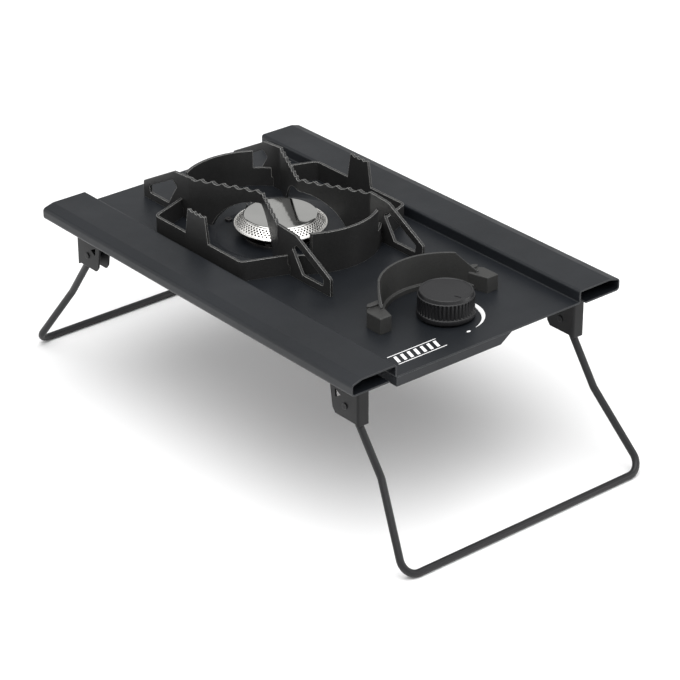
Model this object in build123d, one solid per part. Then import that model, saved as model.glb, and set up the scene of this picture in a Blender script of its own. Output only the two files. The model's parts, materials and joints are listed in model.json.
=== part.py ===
from build123d import *
import math
import os

# Folding single-burner camping stove, in millimetres, +Z up.
# The origin is on the ground under the middle of the body, with the wire legs open.
# -Y is the front, where the control knob is. The long side of the body runs along Y.

os.makedirs("parts", exist_ok=True)

# ---------------------------------------------------------------- body panel
BODY_LENGTH = 360.0
BODY_HALF_WIDTH = 123.8
DECK_TOP = 130.0            # upper face of the deck above the ground
SHEET = 1.2                 # body sheet thickness
DECK_UNDER = DECK_TOP - SHEET
BEND = 1.4                  # centreline bend radius of the body sheet
EDGE_BEND = 2.4             # softer bends along the outside of a rail
RAIL_RISE = 9.0             # rail top above the deck
RAIL_INNER_X = 84.4         # deck side of a rail
RAIL_CHAMFER_X = 114.5      # where a rail top starts to slope down
RAIL_EDGE_DROP = 2.4        # fall of that slope
RAIL_UNDER = 2.6            # underside of a rail below the deck top
RETURN_END_X = 91.0         # inner end of the return flange under a rail
FRONT_Y = -BODY_LENGTH / 2

# ---------------------------------------------------------------- burner
BURNER_Y = 50.0
DISH_RADIUS = 56.0          # pressed dish round the burner
DISH_FLOOR_RADIUS = 48.5
DISH_DEPTH = 4.0
DISH_FLOOR = DECK_TOP - DISH_DEPTH
DISH_UNDER = DISH_FLOOR - SHEET
NECK_HOLE_RADIUS = 17.0
CHAMBER_RADIUS = 21.0
CHAMBER_WALL = 2.2
CHAMBER_BOTTOM = DECK_TOP - 23.8
CHAMBER_FLANGE_RADIUS = 27.0
CHAMBER_FLANGE = 1.5
GASKET = 0.6
BURNER_SCREW_RADIUS = 24.4
RIM_RADIUS = 35.0           # rolled lower rim of the perforated band
RIM_Z = DECK_TOP + 4.6
CAP_RADIUS = 27.7
CAP_FLAT_RADIUS = 26.3      # flat top inside the rounded edge of the cap
CAP_Z = DECK_TOP + 11.4     # underside of the flat cap
CAP_THICKNESS = 1.2
TUBE_RADIUS = 6.5
TUBE_WALL = 1.0
TUBE_Z = DECK_TOP - 14.5
TUBE_FRONT_Y = -119.0

# ---------------------------------------------------------------- pot support
PLATE = 2.2                 # pot-support plate thickness
SUPPORT_TOP = 35.3          # tooth tops above the deck
FOOT_X = 43.0               # foot plates, parallel to Y
APEX_X = 17.0               # where the two diagonals of a plate meet
BEND_DY = 52.7              # foot bends, from the burner centre
SHOULDER_DY = 72.9          # start of the foot slope
SHOULDER_Z = 33.8
FOOT_END_DY = 111.6
FOOT_END_Z = 13.2
ARCH_HALF = 36.8            # half width of the arch over the burner
ARCH_RISE = 25.5
TOOTH_PITCH = 8.1
TOOTH_RADIUS = 4.0
TOOTH_DEPTH = 1.8
RING = 2.0                  # wind ring thickness
RING_SIDE_X = 76.6
RING_CORNER_DY = 51.0
RING_CROSS_DY = 63.5        # where a foot plate crosses the wind ring
RING_ARC_DY = 83.0
RING_LOW = 15.1
RING_FRONT_Z = 32.0         # top of the raised front and rear arcs
RING_REAR_Z = 29.0
RING_CORNER = 5.0           # plan radius of the side corners
RING_ARC_HALF = 31.0
TAB_BASE = 15.9
TAB_TIP = 10.0
LAP = 7.5                   # height of the cross-lap joint

# ---------------------------------------------------------------- knob, guard and valve
KNOB_Y = -134.0
KNOB_BOTTOM = 1.6
KNOB_TOP = 20.0
KNOB_SKIRT_RADIUS = 20.8
KNOB_SKIRT_TOP = 5.2
KNOB_GRIP_RADIUS = 20.2
KNOB_GRIP_TOP = 16.9
KNOB_SHOULDER = 19.5        # radius just above the ribs
KNOB_TOP_RADIUS = 18.6
KNOB_RIBS = 44
GUARD_Y = -138.4            # centre of the guard's curve
GUARD_INNER = 45.8          # inside of the ledge at the guard's foot
GUARD_FACE = 47.6           # inside of the wall, above the ledge
GUARD_OUTER = 49.8          # outside of the wall, at the deck
GUARD_TOP = (49.0, 50.5)    # inside and outside of the wall, at its top
GUARD_HEIGHT = 26.0
GUARD_FULL_X = 35.4         # the wall has its full height between these
GUARD_STEP_X = 44.0         # and has sloped down to the step here
GUARD_STEP_Z = 14.0
GUARD_FOOT_X = (44.5, 54.5)
GUARD_FOOT_Y = (-128.0, -113.5)
GUARD_TAB = 1.6             # thickness of the tab behind each foot
GUARD_FOOT_Z = 12.3
SPINDLE_RADIUS = 3.0
RUNNING = 0.05              # radial running clearance
VALVE_TOP = DECK_UNDER
VALVE_BOTTOM = DECK_TOP - 20.0
VALVE_HALF = 10.0
JET_Y = KNOB_Y + 12.0

# ---------------------------------------------------------------- legs
WIRE = 5.5                  # leg wire diameter
PIVOT_X = 100.2
PIVOT_Y = 151.0
PIVOT_Z = DECK_TOP - 27.5
BAR_Y = 222.5               # ground bar of an open leg
BAR_HALF = 113.2            # half length of the front ground bar, to its corners
REAR_BAR_HALF = 109.5       # the rear leg is narrower, so that the legs nest when folded
LEG_BEND_X = 99.8
LEG_BEND = 54.4             # distance down the leg to its outward bend
EYE_RADIUS = 4.6
EYE_THICKNESS = 4.4
PIN_RADIUS = 1.5
BRACKET_WIDTH = 10.4
BRACKET_SHEET = 1.5
BRACKET_OUTER_Y = 164.6
BRACKET_INNER_Y = 133.0
BRACKET_BOTTOM = DECK_TOP - 37.0
STOP_BOTTOM = DECK_TOP - 38.5
RIVET_YS = (144.0, 156.5)

# ---------------------------------------------------------------- gas inlet
GAS_X = 57.0                # axis of the gas cartridge space, parallel to Y
GAS_Z = DECK_TOP - 38.0
SOCKET_Y = 38.0             # face that the cartridge collar seats on
SOCKET_RADIUS = 18.0
STEM_RADIUS = 4.75          # bore that takes the cartridge stem
SEAL_RADIUS = 5.5
REGULATOR_RADIUS = 15.0
REGULATOR_END_Y = 60.0
COVER_RADIUS = 19.0
PIPE_RADIUS = 2.5
LEAD_RADIUS = 1.2

SCREW_RADIUS = 1.5
SCREW_HEAD_RADIUS = 2.8
SCREW_HEAD = 1.8

GUARD_SCREWS = [(-49.2, -120.0), (49.2, -120.0)]


def block(x, y, z):
    """Box between two limits on each axis."""
    size = (x[1] - x[0], y[1] - y[0], z[1] - z[0])
    return Pos(x[0], y[0], z[0]) * Box(*size, align=(Align.MIN, Align.MIN, Align.MIN))


def rod(axis, radius, span, centre):
    """Cylinder along an axis. centre holds the two other coordinates, in X, Y, Z order."""
    shape = Cylinder(radius, span[1] - span[0], align=(Align.CENTER, Align.CENTER, Align.MIN))
    if axis == "X":
        return Pos(span[0], centre[0], centre[1]) * Rot(0, 90, 0) * shape
    if axis == "Y":
        return Pos(centre[0], span[0], centre[1]) * Rot(-90, 0, 0) * shape
    return Pos(centre[0], centre[1], span[0]) * shape


def turned(points, x, y):
    """Solid of revolution about a vertical axis at x, y, from (radius, height) points."""
    outline = Plane.XZ * make_face(Polyline(*points, close=True))
    return Pos(x, y, 0) * revolve(outline, axis=Axis.Z)


def sheet_strip(points, thickness, radius):
    """Flat outline of a bent strip that follows the points with its centreline."""
    return trace(FilletPolyline(*points, radius=radius), line_width=thickness)


def tube_along(points, radii, radius):
    """Round bar along straight runs joined by tangent arcs."""
    path = FilletPolyline(*points, radius=radii)
    section = Plane(origin=path @ 0, z_dir=path % 0) * Circle(radius)
    return sweep(section, path=path)


def screw_down(x, y, seat, length):
    """Pan-head screw pushed down from a seat height."""
    head = rod("Z", SCREW_HEAD_RADIUS, (seat, seat + SCREW_HEAD), (x, y))
    slot = block((x - 3, x + 3), (y - 0.4, y + 0.4), (seat + SCREW_HEAD - 0.8, seat + SCREW_HEAD + 1))
    return head + rod("Z", SCREW_RADIUS, (seat - length, seat), (x, y)) - slot


def screw_up(x, y, seat, length):
    """Pan-head screw pushed up from under a seat height."""
    head = rod("Z", SCREW_HEAD_RADIUS, (seat - SCREW_HEAD, seat), (x, y))
    slot = block((x - 3, x + 3), (y - 0.4, y + 0.4), (seat - SCREW_HEAD - 1, seat - SCREW_HEAD + 0.8))
    return head + rod("Z", SCREW_RADIUS, (seat, seat + length), (x, y)) - slot


def burner_screw_places():
    return [(BURNER_SCREW_RADIUS * math.cos(math.radians(a)),
             BURNER_Y + BURNER_SCREW_RADIUS * math.sin(math.radians(a))) for a in (90, 210, 330)]


ELECTRODE = (-2.0, BURNER_Y + 38.5)
ELECTRODE_SCREW = (-16.5, BURNER_Y + 42.0)
CERAMIC_DROP = 1.0          # top of the ceramic sleeve below the deck top


def deck_panel():
    """One folded sheet: recessed deck, two hollow rails, and the dish pressed round the burner."""
    half = SHEET / 2
    top = DECK_TOP + RAIL_RISE - half
    low = DECK_TOP - RAIL_UNDER + half
    outer = BODY_HALF_WIDTH - half
    right = [(RAIL_INNER_X + half, DECK_TOP - half), (RAIL_INNER_X + half, top), (RAIL_CHAMFER_X, top),
             (outer, top - RAIL_EDGE_DROP), (outer, low), (RETURN_END_X, low)]
    left = [(-x, z) for x, z in reversed(right)]
    bends = [EDGE_BEND] * 3 + [BEND] * 4 + [EDGE_BEND] * 3
    panel = extrude(Plane.XZ * sheet_strip(left + right, SHEET, bends), amount=BODY_LENGTH / 2, both=True)
    seam = DISH_RADIUS + 2.0
    panel -= rod("Z", seam, (DECK_UNDER - 1, DECK_TOP + 1), (0, BURNER_Y))
    dish = [(NECK_HOLE_RADIUS, DISH_FLOOR - half), (DISH_FLOOR_RADIUS, DISH_FLOOR - half),
            (DISH_RADIUS, DECK_TOP - half), (seam, DECK_TOP - half)]
    section = Plane.XZ * sheet_strip(dish, SHEET, 0.9)
    panel += Pos(0, BURNER_Y, 0) * revolve(section, axis=Axis.Z)
    tall = (DECK_TOP - 12, DECK_TOP + 1)
    panel -= rod("Z", 8.2, tall, (0, KNOB_Y))
    panel -= rod("Z", 2.8, tall, ELECTRODE)
    for place in GUARD_SCREWS + burner_screw_places() + [ELECTRODE_SCREW]:
        panel -= rod("Z", SCREW_RADIUS, tall, place)
    for side in (-1, 1):
        for end in (-1, 1):
            for y in RIVET_YS:
                under = (DECK_TOP - RAIL_UNDER - 1, DECK_TOP - RAIL_UNDER + SHEET + 1)
                panel -= rod("Z", 1.6, under, (side * PIVOT_X, end * y))
    return panel


# ---------------------------------------------------------------- leg brackets and legs
def leg_bracket(side, end):
    """Folded channel under a rail: two ears, a web and the plate that stops the open leg."""
    half = BRACKET_WIDTH / 2
    top = DECK_TOP - RAIL_UNDER
    shell = block((-half, half), (BRACKET_INNER_Y, BRACKET_OUTER_Y), (STOP_BOTTOM, top))
    bends = shell.edges().filter_by(Axis.Z).group_by(Axis.Y)[-1]
    shell = fillet(bends, 1.6)
    inner = half - BRACKET_SHEET
    back = BRACKET_OUTER_Y - BRACKET_SHEET
    shell -= block((-inner, inner), (BRACKET_INNER_Y - 1, back), (STOP_BOTTOM - 1, top - BRACKET_SHEET))
    shell -= block((-half - 1, half + 1), (BRACKET_INNER_Y - 1, back - 0.4), (STOP_BOTTOM - 1, BRACKET_BOTTOM))
    slope = [(BRACKET_INNER_Y - 1, BRACKET_BOTTOM - 1), (BRACKET_INNER_Y + 8.4, BRACKET_BOTTOM - 1),
             (BRACKET_INNER_Y + 4.8, BRACKET_BOTTOM + 3.5), (BRACKET_INNER_Y, top), (BRACKET_INNER_Y - 1, top)]
    catch = [(BRACKET_INNER_Y + 7.0, DECK_TOP - 17.8), (BRACKET_INNER_Y + 13.6, DECK_TOP - 21.2),
             (BRACKET_INNER_Y + 8.0, DECK_TOP - 24.6)]
    shell -= extrude(Plane.YZ * make_face(Polyline(*slope, close=True)), amount=half + 1, both=True)
    shell -= extrude(Plane.YZ * make_face(Polyline(*catch, close=True)), amount=side * (half + 1))
    shell -= rod("X", PIN_RADIUS, (-half - 1, half + 1), (PIVOT_Y, PIVOT_Z))
    for y in RIVET_YS:
        shell -= rod("Z", 1.6, (top - 3, top + 1), (0, y))
    if end < 0:
        shell = mirror(shell, about=Plane.XZ)
    return Pos(side * PIVOT_X, 0, 0) * shell


def bracket_rivets():
    """Domed rivets that hold the leg brackets to the return flanges of the rails."""
    seat = DECK_TOP - RAIL_UNDER
    profile = [(0, seat - BRACKET_SHEET - 1.2), (1.7, seat - BRACKET_SHEET - 1.0),
               (2.8, seat - BRACKET_SHEET), (1.6, seat - BRACKET_SHEET), (1.6, seat + SHEET),
               (2.8, seat + SHEET), (1.7, seat + SHEET + 1.0), (0, seat + SHEET + 1.2)]
    places = [(side * PIVOT_X, end * y) for side in (-1, 1) for end in (-1, 1) for y in RIVET_YS]
    return [turned(profile, x, y) for x, y in places]


def leg_pivot_pins():
    """Headed pins through the bracket ears, one at the top of each leg side."""
    half = BRACKET_WIDTH / 2
    pins = []
    for x in (-PIVOT_X, PIVOT_X):
        for y in (-PIVOT_Y, PIVOT_Y):
            pin = rod("X", PIN_RADIUS, (x - half, x + half), (y, PIVOT_Z))
            pin += rod("X", 2.4, (x - half - 0.8, x - half), (y, PIVOT_Z))
            pin += rod("X", 2.4, (x + half, x + half + 0.8), (y, PIVOT_Z))
            pins.append(pin)
    return pins


def wire_leg(end):
    """U-shaped wire leg with a flattened eye at each top end, open and standing on the ground."""
    fall = PIVOT_Z - WIRE / 2
    reach = math.hypot(BAR_Y - PIVOT_Y, fall)
    corner = BAR_HALF if end < 0 else REAR_BAR_HALF
    side = [(PIVOT_X, EYE_RADIUS - 1.2), (LEG_BEND_X, LEG_BEND), (corner, reach)]
    route = side + [(-x, u) for x, u in reversed(side)]
    wire = tube_along([(x, u, 0) for x, u in route], [14, 11, 11, 14], WIRE / 2)
    half = EYE_THICKNESS / 2
    for x in (-PIVOT_X, PIVOT_X):
        wire -= block((x - 4, x - half), (-1, EYE_RADIUS + 3), (-4, 4))
        wire -= block((x + half, x + 4), (-1, EYE_RADIUS + 3), (-4, 4))
        wire += rod("X", EYE_RADIUS, (x - half, x + half), (0, 0))
    for x in (-PIVOT_X, PIVOT_X):
        wire -= rod("X", PIN_RADIUS + RUNNING, (x - 5, x + 5), (0, 0))
    down = (0, -(BAR_Y - PIVOT_Y) / reach, -fall / reach)
    place = Plane(origin=(0, -PIVOT_Y, PIVOT_Z), x_dir=(1, 0, 0), z_dir=(0, -down[2], down[1]))
    leg = place.location * wire
    return leg if end < 0 else mirror(leg, about=Plane.XZ)


# ---------------------------------------------------------------- pot support
def support_profile():
    """Side view of a pot-support plate, about the burner centre and the deck top."""
    points = [(-FOOT_END_DY, 0), (-FOOT_END_DY, FOOT_END_Z), (-SHOULDER_DY, SHOULDER_Z),
              (-BEND_DY, SUPPORT_TOP), (BEND_DY, SUPPORT_TOP), (SHOULDER_DY, SHOULDER_Z),
              (FOOT_END_DY, FOOT_END_Z), (FOOT_END_DY, 0)]
    side = make_face(Polyline(*points, close=True))
    ends = [v for v in side.vertices() if abs(v.X) > FOOT_END_DY - 1 and v.Y > 1]
    side = fillet(ends, 2.5)
    arch = (ARCH_HALF ** 2 + ARCH_RISE ** 2) / (2 * ARCH_RISE)
    side -= Pos(0, ARCH_RISE - arch) * Circle(arch)
    teeth = int(2 * BEND_DY / TOOTH_PITCH)
    for i in range(teeth):
        y = (i - (teeth - 1) / 2) * TOOTH_PITCH
        side -= Pos(y, SUPPORT_TOP + TOOTH_RADIUS - TOOTH_DEPTH) * Circle(TOOTH_RADIUS)
    window = [(68.5, 22.5), (74.0, 26.6), (104.0, 11.2), (103.4, 5.4), (80.0, 5.4)]
    for end in (-1, 1):
        hole = make_face(Polyline(*[(end * y, z) for y, z in window], close=True))
        side -= fillet(hole.vertices(), 1.5)
        side -= Pos(end * (RING_CROSS_DY + 0.5), LAP / 2) * Rectangle(4.6, LAP + 0.2)
    return side


def support_plate(side):
    """Pot-support plate bent towards the burner, with a foot at each end."""
    plan = [(side * FOOT_X, -FOOT_END_DY), (side * FOOT_X, -BEND_DY), (side * APEX_X, 0),
            (side * FOOT_X, BEND_DY), (side * FOOT_X, FOOT_END_DY)]
    strip = extrude(sheet_strip(plan, PLATE, 6.0), amount=SUPPORT_TOP + 1)
    profile = extrude(Plane.YZ * support_profile(), amount=RING_SIDE_X, both=True)
    return Pos(0, BURNER_Y, DECK_TOP) * (strip & profile)


def wind_ring():
    """Low wall round the burner, raised at the front and rear, with a toothed tab on each side."""
    right = [(FOOT_X, -RING_CROSS_DY), (RING_SIDE_X, -RING_CORNER_DY),
             (RING_SIDE_X, RING_CORNER_DY), (FOOT_X, RING_CROSS_DY)]
    left = [(-x, y) for x, y in reversed(right)]
    rear = ThreePointArc(right[-1], (0, RING_ARC_DY), left[0])
    front = ThreePointArc(left[-1], (0, -RING_ARC_DY), right[0])
    outline = make_face([*Polyline(*right).edges(), rear, *Polyline(*left).edges(), front])
    outline = fillet([v for v in outline.vertices() if abs(v.X) > FOOT_X + 5], RING_CORNER)
    wall = extrude(offset(outline, RING / 2) - offset(outline, -RING / 2), amount=SUPPORT_TOP)
    tab = make_face(Polyline((-TAB_BASE, 0), (-TAB_TIP, SUPPORT_TOP), (TAB_TIP, SUPPORT_TOP),
                             (TAB_BASE, 0), close=True))
    for y in (-5.5, 0, 5.5):
        tab -= Pos(y, SUPPORT_TOP + 2.4 - 1.2) * Circle(2.4)
    wide = RING_SIDE_X + 5
    keep = block((-wide, wide), (-90, 90), (0, RING_LOW))
    keep += block((-RING_ARC_HALF, RING_ARC_HALF), (-90, 0), (0, RING_FRONT_Z))
    keep += block((-RING_ARC_HALF, RING_ARC_HALF), (0, 90), (0, RING_REAR_Z))
    keep += extrude(Plane.YZ * tab, amount=wide, both=True)
    wall &= keep
    slot = PLATE / 2 + 0.15
    for x in (-FOOT_X, FOOT_X):
        for y in (-RING_CROSS_DY, RING_CROSS_DY):
            wall -= block((x - slot, x + slot), (y - 6, y + 6), (LAP - 0.05, RING_LOW + 1))
    return Pos(0, BURNER_Y, DECK_TOP) * wall


# ---------------------------------------------------------------- burner
def burner_chamber():
    """Cast mixing chamber under the dish, with a flange on top and a side bore for the tube."""
    top = DISH_UNDER - GASKET
    inner = CHAMBER_RADIUS - CHAMBER_WALL
    points = [(0, CHAMBER_BOTTOM), (CHAMBER_RADIUS, CHAMBER_BOTTOM), (CHAMBER_RADIUS, top - CHAMBER_FLANGE),
              (CHAMBER_FLANGE_RADIUS, top - CHAMBER_FLANGE), (CHAMBER_FLANGE_RADIUS, top), (inner, top),
              (inner, CHAMBER_BOTTOM + CHAMBER_WALL), (0, CHAMBER_BOTTOM + CHAMBER_WALL)]
    body = turned(points, 0, BURNER_Y)
    body -= rod("Y", TUBE_RADIUS, (BURNER_Y - CHAMBER_RADIUS - 2, BURNER_Y - CHAMBER_RADIUS / 2), (0, TUBE_Z))
    for place in burner_screw_places():
        body -= rod("Z", SCREW_RADIUS, (top - 4, top + 1), place)
    return body


def burner_gasket():
    """Thin sealing ring between the dish and the chamber flange."""
    low = DISH_UNDER - GASKET
    ring = rod("Z", CHAMBER_FLANGE_RADIUS, (low, DISH_UNDER), (0, BURNER_Y))
    ring -= rod("Z", CHAMBER_RADIUS - CHAMBER_WALL, (low - 1, DISH_UNDER + 1), (0, BURNER_Y))
    for place in burner_screw_places():
        ring -= rod("Z", SCREW_RADIUS, (low - 1, DISH_UNDER + 1), place)
    return ring


def burner_bowl():
    """Flared burner bowl whose neck drops through the dish."""
    neck = NECK_HOLE_RADIUS - 0.3
    low = DISH_UNDER - 2.0
    points = [(neck, low), (neck, DISH_FLOOR + 1.6), (19.4, DISH_FLOOR + 3.0), (30.6, RIM_Z - 1.6),
              (33.2, RIM_Z - 0.3), (33.2, RIM_Z), (32.0, RIM_Z), (29.8, RIM_Z - 0.4),
              (18.6, DISH_FLOOR + 4.2), (neck - 1.4, DISH_FLOOR + 2.6), (neck - 1.4, low)]
    bowl = turned(points, 0, BURNER_Y)
    lug = turned([(neck, DISH_FLOOR), (28.0, DISH_FLOOR), (28.0, DISH_FLOOR + 1.2),
                  (neck, DISH_FLOOR + 1.2)], 0, BURNER_Y)
    for place in burner_screw_places():
        lug -= rod("Z", SCREW_RADIUS, (DISH_FLOOR - 1, DISH_FLOOR + 3), place)
    return bowl + lug


def burner_band():
    """Perforated conical flame band with a rolled lower rim."""
    wall = 0.7
    points = [(33.2, RIM_Z), (RIM_RADIUS, RIM_Z), (RIM_RADIUS, RIM_Z + 1.0), (33.8, RIM_Z + 1.2),
              (CAP_RADIUS, CAP_Z), (CAP_RADIUS - wall, CAP_Z), (33.0 - wall, RIM_Z + 0.8),
              (32.4, RIM_Z + 0.6), (32.4, RIM_Z)]
    return turned(points, 0, BURNER_Y)


def burner_cap():
    """Flat stainless cap with a rounded edge."""
    points = [(0, CAP_Z), (CAP_RADIUS, CAP_Z), (CAP_RADIUS, CAP_Z + 0.4),
              (CAP_FLAT_RADIUS, CAP_Z + CAP_THICKNESS), (0, CAP_Z + CAP_THICKNESS)]
    return turned(points, 0, BURNER_Y)


def burner_screws():
    seat = DISH_FLOOR + 1.2
    return [screw_down(x, y, seat, seat - (DISH_UNDER - GASKET - 3.2)) for x, y in burner_screw_places()]


def mixing_tube():
    """Venturi tube from the jet to the chamber, with an air slot on each side near the jet."""
    rear = BURNER_Y - math.sqrt(CHAMBER_RADIUS ** 2 - TUBE_RADIUS ** 2) + CHAMBER_WALL
    tube = rod("Y", TUBE_RADIUS, (TUBE_FRONT_Y, rear), (0, TUBE_Z))
    tube -= rod("Y", TUBE_RADIUS - TUBE_WALL, (TUBE_FRONT_Y - 1, rear + 1), (0, TUBE_Z))
    air = ((TUBE_FRONT_Y + 8, TUBE_FRONT_Y + 20), (TUBE_Z - 3, TUBE_Z + 3))
    return tube - block((-TUBE_RADIUS - 1, TUBE_RADIUS + 1), *air)


# ---------------------------------------------------------------- valve, knob and guard
def valve_body():
    """Brass gas valve: block under the deck, collar through the deck, boss for the jet."""
    y = (KNOB_Y - VALVE_HALF, KNOB_Y + VALVE_HALF)
    body = block((-VALVE_HALF, VALVE_HALF), y, (VALVE_BOTTOM, VALVE_TOP))
    body = fillet(body.edges().filter_by(Axis.Z), 1.5)
    body += rod("Z", 7.0, (VALVE_TOP, DECK_TOP + 1.0), (0, KNOB_Y))
    body += rod("Y", TUBE_RADIUS - TUBE_WALL, (y[1], TUBE_FRONT_Y + 6), (0, TUBE_Z))
    body -= rod("Z", SPINDLE_RADIUS + RUNNING, (DECK_TOP - 15.0, DECK_TOP + 2), (0, KNOB_Y))
    body -= rod("Y", 3.0, (JET_Y, TUBE_FRONT_Y + 7), (0, TUBE_Z))
    body -= rod("X", PIPE_RADIUS, (6.0, VALVE_HALF + 1), (KNOB_Y, DECK_TOP - 12.0))
    return body


def jet_nozzle():
    """Gas jet screwed into the valve boss, with a fine hole and a hexagon end."""
    jet = rod("Y", 3.0, (JET_Y, TUBE_FRONT_Y + 6), (0, TUBE_Z))
    hexagon = Pos(0, TUBE_FRONT_Y + 6, TUBE_Z) * Rot(-90, 0, 0) * extrude(RegularPolygon(3.8, 6), amount=3.0)
    return jet + hexagon - rod("Y", 0.5, (JET_Y - 1, TUBE_FRONT_Y + 12), (0, TUBE_Z))


def valve_spindle():
    """D-shaped spindle between the valve and the knob."""
    spindle = rod("Z", SPINDLE_RADIUS, (DECK_TOP - 14.0, DECK_TOP + 14.0), (0, KNOB_Y))
    return spindle - block((2.0, 4.0), (KNOB_Y - 4, KNOB_Y + 4), (DECK_TOP + 4.0, DECK_TOP + 15.0))


def knob_bush():
    """Metal bush with a D hole, moulded into the knob."""
    bush = rod("Z", 5.0, (DECK_TOP + 4.0, DECK_TOP + 15.0), (0, KNOB_Y))
    hole = rod("Z", SPINDLE_RADIUS, (DECK_TOP + 3.0, DECK_TOP + 14.0), (0, KNOB_Y))
    hole -= block((2.0, 4.0), (KNOB_Y - 4, KNOB_Y + 4), (DECK_TOP + 3.0, DECK_TOP + 15.0))
    return bush - hole


def knob():
    """Ribbed control knob: skirt flange, ribbed grip, sloped rim and an embossed pointer."""
    z = DECK_TOP
    points = [(5.0, z + 4.0), (18.0, z + 4.0), (18.0, z + KNOB_BOTTOM), (KNOB_SKIRT_RADIUS, z + KNOB_BOTTOM),
              (KNOB_SKIRT_RADIUS, z + KNOB_SKIRT_TOP - 0.3), (KNOB_SKIRT_RADIUS - 0.3, z + KNOB_SKIRT_TOP),
              (KNOB_GRIP_RADIUS, z + KNOB_SKIRT_TOP), (KNOB_GRIP_RADIUS, z + KNOB_GRIP_TOP),
              (KNOB_SHOULDER, z + KNOB_GRIP_TOP + 0.3), (KNOB_TOP_RADIUS + 0.5, z + KNOB_TOP - 0.4),
              (KNOB_TOP_RADIUS, z + KNOB_TOP),
              (0, z + KNOB_TOP), (0, z + 15.0), (5.0, z + 15.0)]
    body = turned(points, 0, KNOB_Y)
    for i in range(KNOB_RIBS):
        angle = 2 * math.pi * i / KNOB_RIBS
        place = (KNOB_GRIP_RADIUS * math.cos(angle), KNOB_Y + KNOB_GRIP_RADIUS * math.sin(angle))
        body -= rod("Z", 0.8, (z + KNOB_SKIRT_TOP + 0.3, z + KNOB_GRIP_TOP - 0.3), place)
    pointer = make_face(Polyline((-2.2, -10.5), (2.2, -10.5), (0, -15.5), close=True))
    return body + Pos(0, KNOB_Y, z + KNOB_TOP) * extrude(pointer, amount=0.3)


def knob_guard():
    """Screen between the burner and the knob: a curved, tapered wall with a ledge and two feet."""
    section = [(GUARD_INNER, 0), (GUARD_INNER, 3.6), (GUARD_FACE, 4.2), (GUARD_TOP[0], GUARD_HEIGHT),
               (GUARD_TOP[1], GUARD_HEIGHT), (GUARD_OUTER, 0)]
    wall = turned(section, 0, GUARD_Y)
    outer = GUARD_FOOT_X[1]
    side = [(-outer, 0), (-outer, GUARD_STEP_Z), (-GUARD_STEP_X, GUARD_STEP_Z), (-GUARD_FULL_X, GUARD_HEIGHT),
            (GUARD_FULL_X, GUARD_HEIGHT), (GUARD_STEP_X, GUARD_STEP_Z), (outer, GUARD_STEP_Z), (outer, 0)]
    front = Plane(origin=(0, GUARD_FOOT_Y[1] - 4.0, 0), x_dir=(1, 0, 0), z_dir=(0, -1, 0))
    body = wall & extrude(front * make_face(Polyline(*side, close=True)), amount=-60.0)
    low, high = GUARD_FOOT_Y
    for s in (-1, 1):
        foot = [(GUARD_FOOT_X[0], low), (outer, low), (outer, high), (50.0, -108.0), (41.5, -108.0), (40.0, -113.0)]
        foot = extrude(make_face(Polyline(*[(s * x, y) for x, y in foot], close=True)), amount=GUARD_FOOT_Z)
        tab = [(40.5, -112.0), (49.5, -111.5), (51.5, -109.8), (49.0, -107.6), (39.5, -107.0)]
        tab = make_face(Polyline(*[(s * x, y) for x, y in tab], close=True))
        body += fillet(foot.edges().group_by(Axis.Z)[-1], 0.9)
        body += Pos(0, 0, GUARD_STEP_Z - GUARD_TAB) * extrude(tab, amount=GUARD_TAB)
    body = Pos(0, 0, DECK_TOP) * body
    for place in GUARD_SCREWS:
        body -= rod("Z", SCREW_RADIUS, (DECK_TOP - 1, DECK_TOP + 8.0), place)
    return body


def valve_pan():
    """Pan under the front of the deck: a shallow tray that shows as a front lip, and a deeper box
    round the valve, open on top and at the rear. Its flanges are spot-welded to the deck."""
    def tray(inset):
        low = DECK_TOP - 8.0 + inset
        left = -RAIL_INNER_X + inset
        points = [(left, low), (10.0 - inset / 2, low), (20.0 - inset, DECK_UNDER), (left, DECK_UNDER)]
        length = BODY_LENGTH / 2 - 96.0 - 2 * inset
        face = Plane(origin=(0, FRONT_Y + inset, 0), x_dir=(1, 0, 0), z_dir=(0, -1, 0))
        return extrude(face * make_face(Polyline(*points, close=True)), amount=-length)

    wall = 1.0
    deep = block((-44.0, 23.0), (-158.0, -86.0), (DECK_TOP - 22.5, DECK_UNDER))
    pan = tray(0) + deep
    pan -= tray(wall)
    pan -= block((-43.0, 22.0), (-157.0, -80.0), (DECK_TOP - 21.5, DECK_UNDER + 2))
    for x in ((-52.0, -43.5), (22.5, 31.0)):
        pan += block(x, (-95.5, -86.0), (DECK_UNDER - wall, DECK_UNDER))
    pan += block((19.2, 26.0), (FRONT_Y + 2.0, -97.0), (DECK_UNDER - wall, DECK_UNDER))
    for x in (-30.0, -15.0, 0.0, 12.0):
        pan -= block((x - 1.2, x + 1.2), (-150.0, -110.0), (DECK_TOP - 24, DECK_TOP - 20))
    return pan


def guard_screws():
    return [screw_up(x, y, DECK_UNDER, 9.2) for x, y in GUARD_SCREWS]


# ---------------------------------------------------------------- ignition
def piezo_igniter():
    """Spark unit beside the valve."""
    unit = block((-24.0, -VALVE_HALF - 1.0), (KNOB_Y - 8.0, KNOB_Y + 18.0), (DECK_TOP - 15.0, DECK_TOP - 3.0))
    unit = fillet(unit.edges(), 1.2)
    return unit + rod("Y", 2.6, (KNOB_Y + 18.0, KNOB_Y + 22.0), (-18.0, DECK_TOP - 9.0))


def igniter_strap():
    """Folded strap that holds the spark unit to the underside of the deck."""
    gap = 1.0
    y = (KNOB_Y + 2.0, KNOB_Y + 10.0)
    outer = block((-25.0, -10.0), y, (DECK_TOP - 16.0, DECK_UNDER))
    outer -= block((-24.0, -11.0), (y[0] - 1, y[1] + 1), (DECK_TOP - 15.0, DECK_UNDER + 1))
    return outer + block((-33.0, -24.0 - gap), y, (DECK_UNDER - 1.0, DECK_UNDER))


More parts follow.
